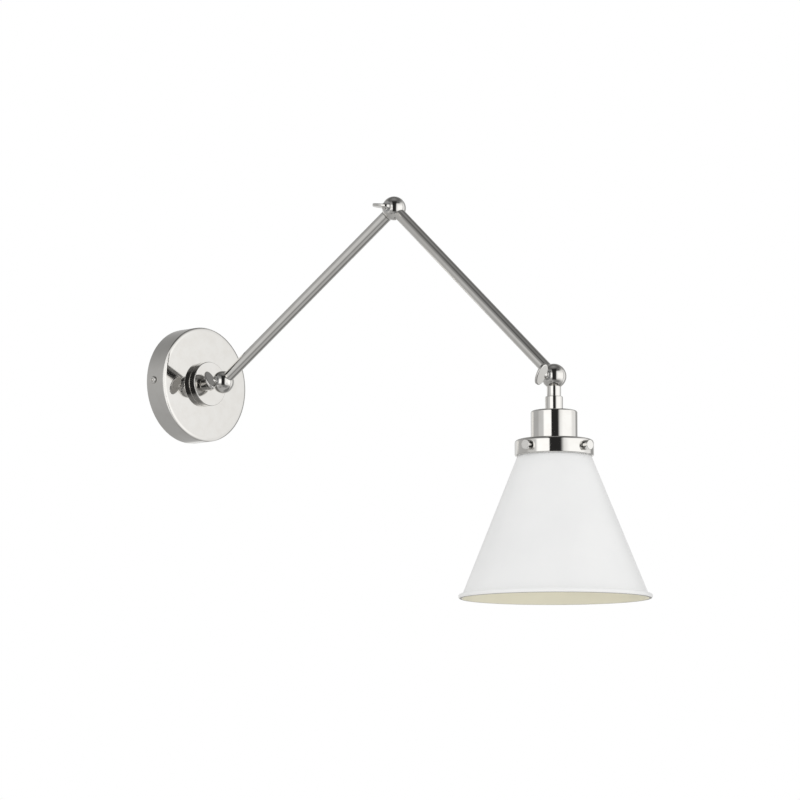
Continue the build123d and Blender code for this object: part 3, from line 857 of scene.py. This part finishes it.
# Sections are (radius, distance) rows beyond the ball, with half the width between two flats as a third value
def neck(name, side, centre, rise, radius, sections):
    relief = ball["radius"] + ball["gap"]
    shape = bmesh.new()
    columns = []
    for column in range(neckShape["columns"]):
        angle = 2 * pi * (column + 0.5) / neckShape["columns"]
        own = side * radius * cos(angle) > ball["halfSplit"]
        points = []
        for share in neckShape["shares"]:
            reach = radius * share
            sunk = own and share > neckShape["sunkShare"]
            points.append((reach, neckShape["sunk"] if sunk else sqrt(relief**2 - reach**2)))
        line = []
        for reach, distance, *flat in points + sections:
            y = reach * sin(angle)
            for limit in flat:
                y = max(-limit, min(limit, y))
            line.append(shape.verts.new((reach * cos(angle), y, distance)))
        columns.append(line)
    for first, second in zip(columns, columns[1:] + columns[:1]):
        for row in range(len(first) - 1):
            shape.faces.new((first[row], first[row + 1], second[row + 1], second[row]))
    bmesh.ops.remove_doubles(shape, verts=shape.verts, dist=weldGap)
    bmesh.ops.dissolve_degenerate(shape, edges=shape.edges, dist=weldGap)
    return fromShape(name, shape, aim(centre, rise), polished)


def knuckle(name, side, centre, rise, radius, sections, body, node):
    parts = [halfBall(name + "Half", side, centre), neck(name + "Neck", side, centre, rise, radius, sections)]
    fit(joined(name, parts), body, node)


stem = {
    "radius": 7.1,
    "flat": 6.0,
    "full": 38.3,         # where the two flats start
    "end": 42.5,
    "edge": 0.3,
    "bore": 3.3,
    "boreEdge": 0.2,
    "boreEnd": 20.0,
    "groove": 5.3,
    "grooveFrom": 39.9,
    "grooveTo": 41.1,
    "step": 0.01,         # between the two rows of a square shoulder
}
spigot = {"radius": 4.85, "length": 28.0, "edge": 0.4, "bore": 3.3, "boreEnd": 16.0}
headNeck = {"radius": 7.0, "length": 20.4, "edge": 0.25, "bulge": 0.3}


def makeKnuckles():
    radius, flat, groove, edge, step = (stem[key] for key in ("radius", "flat", "groove", "edge", "step"))
    stemRows = [
        (radius, stem["full"]), (radius, stem["full"] + step, flat),
        (radius, stem["grooveFrom"], flat), (radius, stem["grooveFrom"] + step, groove),
        (radius, stem["grooveTo"] - step, groove), (radius, stem["grooveTo"], flat),
        (radius, stem["end"] - edge, flat), (radius - edge, stem["end"], flat - edge),
        (stem["bore"] + stem["boreEdge"], stem["end"]), (stem["bore"], stem["end"] - stem["boreEdge"]),
        (stem["bore"], stem["boreEnd"]), (0, stem["boreEnd"]),
    ]
    knuckle("swivelStem", 1, baseBall, 180, radius, stemRows, "swivel", "swivel_stem")
    radius, edge, bore = spigot["radius"], spigot["edge"], spigot["bore"]
    spigotRows = [
        (radius, spigot["length"] - edge), (radius - edge, spigot["length"]),
        (bore, spigot["length"]), (bore, spigot["boreEnd"]), (0, spigot["boreEnd"]),
    ]
    lower, upper = arms["lowerRise"], arms["upperRise"]
    for name, side, centre, rise, body, node in (
        ("lowerArmBaseKnuckle", -1, baseBall, lower, "lower_arm", "lower_arm_base_knuckle"),
        ("lowerArmElbowKnuckle", -1, elbowBall, lower + 180, "lower_arm", "lower_arm_elbow_knuckle"),
        ("upperArmElbowKnuckle", 1, elbowBall, upper, "upper_arm", "upper_arm_elbow_knuckle"),
        ("upperArmHeadKnuckle", 1, headBall, upper + 180, "upper_arm", "upper_arm_head_knuckle"),
    ):
        knuckle(name, side, centre, rise, radius, spigotRows, body, node)
    radius, end, edge = headNeck["radius"], headNeck["length"], headNeck["edge"]
    bulge = edge * headNeck["bulge"]
    headRows = [(radius, end - edge), (radius - bulge, end - bulge), (radius - edge, end), (0, end)]
    knuckle("headKnuckle", -1, headBall, -90, radius, headRows, "lamp_head", "head_knuckle")


makeKnuckles()
print("ball knuckles ready")


# Arm tubes, with ends hollowed to follow the balls
tube = {"radius": 6.1, "wall": 1.2, "edge": 0.15}


def makeTube(arm, centre, finish):
    length = arms[arm + "Length"]
    relief = ball["radius"] + ball["gap"]
    outer, inner = tube["radius"], tube["radius"] - tube["wall"]
    outerEnd, innerEnd = sqrt(relief**2 - outer**2), sqrt(relief**2 - inner**2)
    piece = turned(arm + "ArmTube", [
        (outer, outerEnd, tube["edge"]),
        (outer, length - outerEnd, tube["edge"]),
        (inner, length - innerEnd),
        (inner, innerEnd),
    ], aim(centre, arms[arm + "Rise"]), finish)
    fit(piece, arm + "_arm", arm + "_arm_tube")


makeTube("lower", baseBall, lowerDrawn)
makeTube("upper", elbowBall, upperDrawn)
print("arm tubes ready")


# Wing screws: a waisted hub and a flat oval blade with soft rims
wing = {
    "seat": 12.325,
    "flangeRadius": 4.3,
    "flange": 1.0,
    "waistIn": 0.35,
    "waistUp": 0.25,
    "hubRadius": 3.6,
    "swellUp": 1.4,
    "neckIn": 0.25,
    "neckDown": 0.8,
    "noseIn": 1.6,
    "hubEnd": 16.925,
    "shank": 2.5,
    "shankTip": -9.0,
    "reach": 20.025,
    "length": 22.0,
    "width": 12.4,
    "rootThickness": 4.8,
    "tipThickness": 2.8,
    "edge": 0.95,
    "columns": 96,
    "shares": (0.0, 0.3, 0.55, 0.75, 0.9, 0.98),      # rings on the blade's face
    "turns": (90, 78, 66, 54, 42, 30, 18, 6, 0),      # rings round its rim, in degrees
    "round": {"tip": 0.4, "foot": 0.15, "flange": 0.35, "waist": 0.2, "swell": 0.6, "neck": 0.5, "nose": 0.6},
    "angles": {"base": 60.0, "elbow": 10.0, "head": 117.6},  # how each blade is turned on its screw
}


def bladeShape():
    long, wide, edge = wing["length"] / 2, wing["width"] / 2, wing["edge"]
    rows = [(share, edge, 90) for share in wing["shares"]]
    rows += [(1.0, edge * (1 - cos(radians(turn))), turn) for turn in wing["turns"]]
    shape = bmesh.new()
    rings = []
    for sign, share, inset, turn in [(1, *row) for row in rows] + [(-1, *row) for row in rows[::-1]]:
        ring = []
        for column in range(wing["columns"]):
            angle = 2 * pi * column / wing["columns"]
            outwards = Vector((wide * cos(angle), long * sin(angle))).normalized()
            x = share * (long * cos(angle) - outwards.x * inset)
            z = share * (wide * sin(angle) - outwards.y * inset)
            part = 0.5 + z / wing["width"]
            half = (wing["rootThickness"] * (1 - part) + wing["tipThickness"] * part) / 2
            lift = half - edge * (1 - sin(radians(turn)))
            ring.append(shape.verts.new((x, sign * lift, z + wing["reach"])))
        rings.append(ring)
    skin(shape, rings)
    return shape


def makeWing(joint, centre):
    name, soft = joint + "Wing", wing["round"]
    turn = Matrix.Rotation(radians(90 - wing["angles"][joint]), 4, "Z")
    place = Matrix.Translation(centre) @ across(-1) @ turn
    top = wing["seat"] + wing["flange"]
    hub = turned(name + "Hub", [
        (0, wing["shankTip"]),
        (wing["shank"], wing["shankTip"], soft["tip"]),
        (wing["shank"], wing["seat"]),
        (wing["flangeRadius"], wing["seat"], soft["foot"]),
        (wing["flangeRadius"], top, soft["flange"]),
        (wing["hubRadius"] - wing["waistIn"], top + wing["waistUp"], soft["waist"]),
        (wing["hubRadius"], top + wing["swellUp"], soft["swell"]),
        (wing["hubRadius"] - wing["neckIn"], wing["hubEnd"] - wing["neckDown"], soft["neck"]),
        (wing["hubRadius"] - wing["noseIn"], wing["hubEnd"], soft["nose"]),
        (0, wing["hubEnd"]),
    ], place, polished, segments=64)
    blade = fromShape(name + "Blade", bladeShape(), place, polished)
    fit(joined(name, [hub, blade]), joint + "_wing", joint + "_wing_screw")


makeWing("base", baseBall)
makeWing("elbow", elbowBall)
makeWing("head", headBall)
print("wing screws ready")


# Head: collar, cup and fitter ring, as drops below the head ball
headStack = {
    "bore": 5.0,
    "collarRadius": 8.8,
    "collarTop": 20.4,
    "collarEdge": 0.8,
    "cupRadius": 23.1,
    "cupTop": 34.8,
    "cupWall": 1.5,
    "cupEdge": 2.0,
    "footEdge": 0.12,
    "ringRadius": 39.1,
    "ringInner": 36.6,
    "ringTop": 63.9,
    "ringBottom": 79.9,
    "ringEdge": 3.0,
    "ringLip": 1.2,
    "ringInnerLip": 1.0,
    "ringPlate": 1.6,
    "ringCollarInner": 20.1,
    "ringCollarOuter": 21.5,
    "ringCollarTop": 57.9,
    "ringCollarEdge": 0.2,
}


def makeHeadStack():
    stack = headStack
    fit(turned("neckCollar", [
        (stack["bore"], stack["collarTop"]),
        (stack["collarRadius"], stack["collarTop"], stack["collarEdge"]),
        (stack["collarRadius"], stack["cupTop"], stack["footEdge"]),
        (stack["bore"], stack["cupTop"]),
    ], head, polished), "lamp_head", "neck_collar")
    inner, under = stack["cupRadius"] - stack["cupWall"], stack["cupTop"] + stack["cupWall"]
    fit(turned("socketCup", [
        (stack["bore"], stack["cupTop"]),
        (stack["cupRadius"], stack["cupTop"], stack["cupEdge"]),
        (stack["cupRadius"], stack["ringTop"], stack["footEdge"]),
        (inner, stack["ringTop"]),
        (inner, under, stack["cupEdge"] / 2),
        (stack["bore"], under),
    ], head, polished, segments=144), "lamp_head", "socket_cup")
    under = stack["ringTop"] + stack["ringPlate"]
    fit(turned("fitterRing", [
        (stack["ringCollarInner"], stack["ringCollarTop"], stack["ringCollarEdge"]),
        (stack["ringCollarOuter"], stack["ringCollarTop"], stack["ringCollarEdge"]),
        (stack["ringCollarOuter"], stack["ringTop"]),
        (stack["ringRadius"], stack["ringTop"], stack["ringEdge"]),
        (stack["ringRadius"], stack["ringBottom"], stack["ringLip"]),
        (stack["ringInner"], stack["ringBottom"], stack["ringInnerLip"]),
        (stack["ringInner"], under, stack["ringEdge"] / 2),
        (stack["ringCollarInner"], under),
    ], head, polished, segments=160), "lamp_head", "fitter_ring")


# The thumb screws stand evenly round the ring; the tree turns one profile and sets it at its number
thumb = {
    "tip": 34.5,
    "tipEdge": 0.4,
    "seat": 39.4,
    "seatEdge": 0.3,
    "headEnd": 45.4,
    "headRadius": 4.9,
    "headEdge": 0.55,
    "faceDepth": 0.02,
    "shank": 2.0,
    "drop": 71.9,
    "segments": 64,
    "sides": ("right", "front", "left", "back"),  # in this order round the ring
}


def makeThumbTree():
    tree, given = newTree("thumbScrewRound", [
        ("Segments", "Int", thumb["segments"]),
        ("Count", "Int", len(thumb["sides"])),
        ("Number", "Int", 0),
        ("Drop", "Float", thumb["drop"]),
        ("Material", "Material", None),
    ])
    one = wire(tree, "GeometryNodeGroup", node_tree=turnTree)
    tree.links.new(given["Geometry"], one.inputs["Geometry"])
    tree.links.new(given["Segments"], one.inputs["Segments"])
    lying = wire(tree, "GeometryNodeTransform", {"Geometry": one.outputs[0], "Rotation": (0, pi / 2, 0)})
    angle = maths(tree, "DIVIDE", maths(tree, "MULTIPLY", given["Number"], 2 * pi), given["Count"])
    spin = wire(tree, "ShaderNodeCombineXYZ", {2: angle}).outputs[0]
    lift = wire(tree, "ShaderNodeCombineXYZ", {2: given["Drop"]}).outputs[0]
    moves = {"Geometry": lying.outputs[0], "Translation": lift, "Rotation": spin}
    closeTree(tree, wire(tree, "GeometryNodeTransform", moves).outputs[0], given["Material"])
    return tree


def makeThumbScrews():
    points = [(point.x, 0, point.y) for point in rounded([
        (0, thumb["tip"]),
        (thumb["shank"], thumb["tip"], thumb["tipEdge"]),
        (thumb["shank"], thumb["seat"]),
        (thumb["headRadius"], thumb["seat"], thumb["seatEdge"]),
        (thumb["headRadius"], thumb["headEnd"], thumb["headEdge"]),
        (0, thumb["headEnd"]),
    ])]
    tree = makeThumbTree()
    axis = Vector(headBall[:2]) * mm
    for number, side in enumerate(thumb["sides"]):
        piece = strung("thumbScrew" + side.capitalize(), points)
        grown(piece, tree, {"Segments": thumb["segments"], "Count": len(thumb["sides"]), "Number": number,
                            "Drop": thumb["drop"], "Material": polished})
        seat(piece, head)
        piece.data.materials.append(facedPaintedHighlight)
        for face in piece.data.polygons:  # the turned end of the head, with its painted highlight
            if (Vector(face.center[:2]) - axis).length > (thumb["headEnd"] - thumb["faceDepth"]) * mm:
                face.material_index = 1
        fit(piece, "thumb_" + side, "shade_screw_" + side)


makeHeadStack()
makeThumbScrews()
print("head stack ready")


# Shade: a spun cone with a lipped neck and a rolled bead
shade = {
    "wall": 0.8,
    "neckTop": 66.4,
    "lipRadius": 36.0,
    "lipEnd": 68.2,
    "waistRadius": 34.2,
    "waistStart": 69.2,
    "waistEnd": 76.9,
    "shoulderRadius": 36.2,
    "shoulder": 78.9,
    "mouth": 218.5,
    "beadCentre": 93.2,
    "beadRadius": 2.3,
    "beadFrom": 224.5,    # where the bead leaves the cone, in degrees round it
    "beadTo": 474.6,      # where the lining meets it again
    "beadSteps": 26,
    "round": {"topInner": 0.2, "top": 0.3, "lip": 0.8, "waist": 1.5, "liningLip": 0.6, "liningWaist": 1.0},
    "rimShadeFrom": 55,       # painted shade under the bead starts here, in degrees round it
    "rimShadeTo": 116,
    "inward": -0.5,       # faces that look inwards by more than this are lined
}


def makeShade():
    sheet, soft = shade["wall"], shade["round"]
    bead = (shade["beadCentre"], shade["mouth"]), shade["beadRadius"]
    corners = [
        (shade["lipRadius"] - sheet, shade["neckTop"], soft["topInner"]),
        (shade["lipRadius"], shade["neckTop"], soft["top"]),
        (shade["lipRadius"], shade["lipEnd"], soft["lip"]),
        (shade["waistRadius"], shade["waistStart"], soft["lip"]),
        (shade["waistRadius"], shade["waistEnd"], soft["waist"]),
        (shade["shoulderRadius"], shade["shoulder"], soft["waist"]),
        *arc(*bead, shade["beadFrom"], shade["beadTo"], shade["beadSteps"]),
        (shade["shoulderRadius"] - sheet, shade["shoulder"] + sheet / 2, soft["liningWaist"]),
        (shade["waistRadius"] - sheet, shade["waistEnd"] + sheet / 2, soft["liningWaist"]),
        (shade["waistRadius"] - sheet, shade["waistStart"] - sheet / 2, soft["liningLip"]),
        (shade["lipRadius"] - sheet, shade["lipEnd"] - sheet / 2, soft["liningLip"]),
    ]
    piece = turned("shadeCone", corners, head, shadeWhite, segments=192)
    piece.data.materials.append(shadeCream)  # number 1
    piece.data.materials.append(shadeRimShade)   # number 2, painted shade under the bead
    axis = Vector(headBall[:2]) * mm
    for face in piece.data.polygons:
        out = Vector(face.center[:2]) - axis
        below = headBall.z - face.center.z / mm - shade["mouth"]
        roundBead = degrees(atan2(below, out.length / mm - shade["beadCentre"]))
        # faces under the bead take the painted shade, the rest facing inwards take the lining
        if below > 0 and shade["rimShadeFrom"] < roundBead < shade["rimShadeTo"]:
            face.material_index = 2
        elif out.length > 0 and Vector(face.normal[:2]).dot(out.normalized()) < shade["inward"]:
            face.material_index = 1
    fit(piece, "lamp_head", "shade")


makeShade()
print("shade ready")


# Lamp holder: glazed body, rolled brass shell and sprung centre contact
holder = {
    "top": 40.0,
    "mouth": 84.0,
    "radius": 18.5,
    "skirt": 17.0,
    "step": 62.0,
    "bore": 13.8,
    "floor": 54.0,
    "wellRadius": 7.0,
    "wellFloor": 52.8,
    "edge": 1.5,
    "nippleEnd": 47.0,
    "threadPitch": 3.63,
    "threadDepth": 0.42,
    "threadStart": 1.8,   # above the floor
    "threadStop": 1.2,    # below the shell's mouth
    "threadFade": 1.5,
    "threadStep": 0.36,   # between the rows that carry the thread
    "shellRadius": 13.25,
    "shellSheet": 0.3,
    "shellHole": 9.0,
    "shellMouth": 82.0,
    "contactRadius": 4.5,
    "contactRim": 0.5,
    "contactTop": 2.5,
    "contactHeight": 1.4,
    "rivet": 2.5,
    "rivetGap": 0.1,
    "round": {"hole": 0.4, "foot": 0.3, "mouth": 0.8, "well": 0.2, "rivet": 0.2},
    "shellRound": {"outer": 0.6, "inner": 0.5, "tuck": 0.4},
    "contactRound": {"foot": 0.1, "rim": 0.3, "top": 1.2},
}


def makeHolder():
    hole, soft = holder["rivet"] + holder["rivetGap"], holder["round"]
    fit(turned("lampHolderBody", [
        (headStack["bore"], holder["top"], soft["hole"]),
        (holder["radius"], holder["top"], holder["edge"]),
        (holder["radius"], holder["step"], holder["edge"]),
        (holder["skirt"], holder["step"], soft["foot"]),
        (holder["skirt"], holder["mouth"], soft["mouth"]),
        (holder["bore"], holder["mouth"], soft["mouth"]),
        (holder["bore"], holder["floor"], soft["foot"]),
        (holder["wellRadius"], holder["floor"], soft["well"]),
        (holder["wellRadius"], holder["wellFloor"]),
        (hole, holder["wellFloor"]),
        (hole, holder["nippleEnd"]),
        (headStack["bore"], holder["nippleEnd"]),
    ], head, porcelain), "lamp_head", "lamp_holder_body")

    sheet, bend = holder["shellSheet"], holder["shellRound"]
    outer, inner = holder["shellRadius"] + sheet / 2, holder["shellRadius"] - sheet / 2
    low, high = holder["floor"] + holder["threadStart"], holder["shellMouth"] - holder["threadStop"]
    rows = int((high - low) / holder["threadStep"])
    heights = [low + (high - low) * row / rows for row in range(rows + 1)]

    def threadShare(point):  # full along the walls, fading out at both ends
        away = min(point.y - low, high - point.y)
        return max(0.0, min(1.0, away / holder["threadFade"]))

    fit(turned("lampHolderShell", [
        (holder["shellHole"], holder["floor"] + sheet),
        (holder["shellHole"], holder["floor"]),
        (outer - bend["tuck"], holder["floor"], bend["outer"]),
        *[(outer, height) for height in heights],
        (outer, holder["shellMouth"]),
        (inner, holder["shellMouth"]),
        *[(inner, height) for height in reversed(heights)],
        (inner - bend["tuck"], holder["floor"] + sheet, bend["inner"]),
    ], head, brass, pitch=holder["threadPitch"], thread=holder["threadDepth"], threadShare=threadShare),
        "lamp_head", "lamp_holder_screw_shell")

    bend = holder["contactRound"]
    fit(turned("lampHolderContact", [
        (0, holder["nippleEnd"] + holder["rivetGap"]),
        (holder["rivet"], holder["nippleEnd"] + holder["rivetGap"], soft["rivet"]),
        (holder["rivet"], holder["wellFloor"]),
        (holder["contactRadius"], holder["wellFloor"], bend["foot"]),
        (holder["contactRadius"], holder["wellFloor"] + holder["contactRim"], bend["rim"]),
        (holder["contactTop"], holder["wellFloor"] + holder["contactHeight"], bend["top"]),
        (0, holder["wellFloor"] + holder["contactHeight"]),
    ], head, brass, segments=64), "lamp_head", "lamp_holder_contact")


makeHolder()
print("lamp holder ready")


# Pieces that keep their CAD mesh and take a finish
carried = {
    zinc: ("crossbar", "swivel_lock_nut", "swivel_spring_washer", "swivel_stop_washer", "swivel_circlip",
           "cup_nut", "base_spring_washer", "elbow_spring_washer", "head_spring_washer"),
    greenZinc: ("ground_screw",),
    brass: ("head_nipple",),
    fibre: ("base_friction_ring", "elbow_friction_ring", "head_friction_ring"),
    sleeve: ("stem_leads", "lower_arm_leads", "upper_arm_leads", "head_leads"),
}
for finish, names in carried.items():
    for name in names:
        slots = cadNodes[name].data.materials
        slots.clear()
        slots.append(finish)
print("carried pieces finished")

bpy.context.scene.view_settings.view_transform = "Standard"
